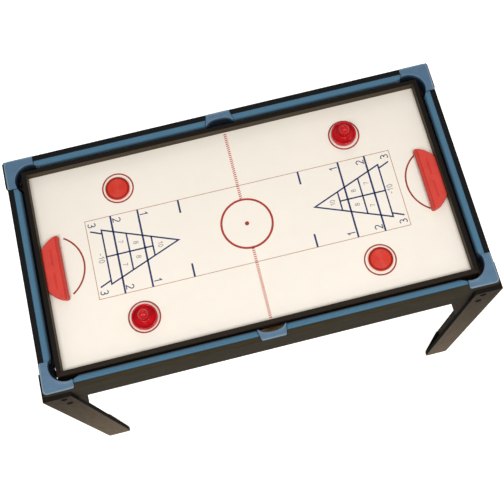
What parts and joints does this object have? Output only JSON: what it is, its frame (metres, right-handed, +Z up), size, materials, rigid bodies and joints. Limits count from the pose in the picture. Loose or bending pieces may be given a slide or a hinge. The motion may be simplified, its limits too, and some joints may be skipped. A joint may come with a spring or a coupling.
{
  "type": "air hockey table",
  "caption": "Family games table: wooden pool-table base with blue cushions and pocket castings on L-shaped board legs, with a drop-in hockey board, red goals, pucks and pushers.",
  "frame": {"origin": "on the floor, under the middle of the table", "axes": "+X along the table to the right end, +Y across to the back, +Z up"},
  "size_m": [1.093, 0.607, 0.837],
  "materials": {
    "apron_wood": "dark brown laminate, fine grain, satin",
    "raw_board": "raw fibreboard and plain strip wood, matt",
    "bed_cloth": "blue woven cloth, matt",
    "cushion": "blue cloth over a rubber core, matt",
    "casting_plastic": "blue-grey moulded plastic, fine satin texture",
    "basket_plastic": "dark brown moulded plastic, matt",
    "leg_wood": "dark brown wood-grain laminate, satin",
    "block_plastic": "black moulded plastic, matt",
    "steel": "darkened steel, satin",
    "field_print": "printed cream board, satin lacquer",
    "frame_wood": "dark brown painted wood, satin",
    "goal_plastic": "red moulded plastic, semi-gloss",
    "puck_plastic": "red moulded plastic, semi-gloss",
    "pusher_plastic": "deep red moulded plastic, gloss"
  },
  "bodies": {
    "table": {"apron_front": "apron_wood", "apron_back": "apron_wood", "apron_left": "apron_wood", "apron_right": "apron_wood", "bed_board": "raw_board", "bed_cleats": "raw_board", "bed_cloth": "bed_cloth", "cushion_front_left": "cushion", "cushion_front_right": "cushion", "cushion_back_left": "cushion", "cushion_back_right": "cushion", "cushion_end_left": "cushion", "cushion_end_right": "cushion", "corner_casting_front_left": "casting_plastic", "corner_casting_front_right": "casting_plastic", "corner_casting_back_left": "casting_plastic", "corner_casting_back_right": "casting_plastic", "side_casting_front": "casting_plastic", "side_casting_back": "casting_plastic", "basket_front_left": "basket_plastic", "basket_front_right": "basket_plastic", "basket_front_middle": "basket_plastic", "basket_back_left": "basket_plastic", "basket_back_right": "basket_plastic", "basket_back_middle": "basket_plastic", "leg_front_left_side": "leg_wood", "leg_front_right_side": "leg_wood", "leg_back_left_side": "leg_wood", "leg_back_right_side": "leg_wood", "leg_front_left_end": "leg_wood", "leg_front_right_end": "leg_wood", "leg_back_left_end": "leg_wood", "leg_back_right_end": "leg_wood", "end_panel_left": "leg_wood", "end_panel_right": "leg_wood", "foot_block_front_left": "block_plastic", "foot_block_front_right": "block_plastic", "foot_block_back_left": "block_plastic", "foot_block_back_right": "block_plastic", "leg_bolts": "steel", "leg_inserts": "steel", "panel_screws": "steel", "basket_screws": "steel"},
    "hockey_board": {"field_battens": "raw_board", "playfield_panel": "field_print", "frame_rail_front": "frame_wood", "frame_rail_back": "frame_wood", "frame_rail_left": "frame_wood", "frame_rail_right": "frame_wood", "goal_left": "goal_plastic", "goal_right": "goal_plastic"},
    "puck_left": {"puck_left": "puck_plastic"},
    "puck_right": {"puck_right": "puck_plastic"},
    "pusher_left": {"pusher_left": "pusher_plastic"},
    "pusher_right": {"pusher_right": "pusher_plastic"}
  },
  "joints": [
    {"name": "board_lift", "type": "slide", "parent": "table", "child": "hockey_board", "axis": [0, 0, 1], "range_m": [0, 0.25]},
    {"name": "puck_left_glide", "type": "slide", "parent": "hockey_board", "child": "puck_left", "axis": [1, 0, 0], "range_m": [-0.17, 0.25]},
    {"name": "puck_right_glide", "type": "slide", "parent": "hockey_board", "child": "puck_right", "axis": [1, 0, 0], "range_m": [-0.25, 0.165]},
    {"name": "pusher_left_glide", "type": "slide", "parent": "hockey_board", "child": "pusher_left", "axis": [1, 0, 0], "range_m": [-0.17, 0.25]},
    {"name": "pusher_right_glide", "type": "slide", "parent": "hockey_board", "child": "pusher_right", "axis": [1, 0, 0], "range_m": [-0.25, 0.165]}
  ]
}
